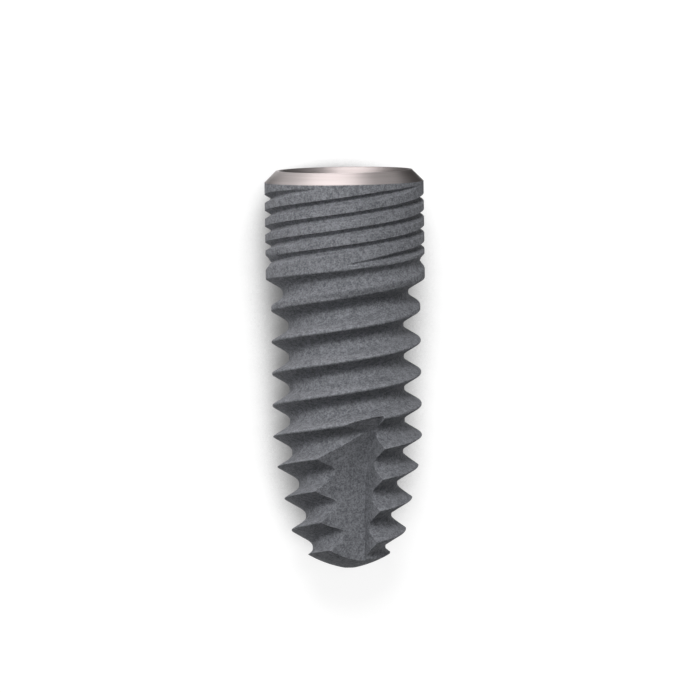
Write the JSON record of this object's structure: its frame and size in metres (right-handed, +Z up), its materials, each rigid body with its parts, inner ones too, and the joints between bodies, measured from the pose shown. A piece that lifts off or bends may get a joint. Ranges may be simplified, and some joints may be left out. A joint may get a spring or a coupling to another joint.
{
  "type": "dental implant",
  "caption": "Tapered screw implant for the jaw: fine-grooved neck with a bevelled rim, double-lead thread, cutting flutes at a domed tip, hexagon socket and blind screw hole.",
  "frame": {"origin": "on the ground under the middle of the implant's length, as it lies on its side", "axes": "+Y towards the head, almost along the screw's axis, which dips 1.7 degrees to the tip; +Z up; +X to the right of a viewer above with the head at the top. The side seen in the picture is rolled 14 degrees from the top towards -X, as it comes to rest"},
  "size_m": [0.004, 0.01, 0.0041],
  "materials": {
    "blasted_titanium": "grit-blasted and acid-etched titanium, dark matt grey; the bevel of the rim and the inside are left as machined"
  },
  "bodies": {
    "root": {"implant_body": "blasted_titanium"}
  },
  "joints": []
}
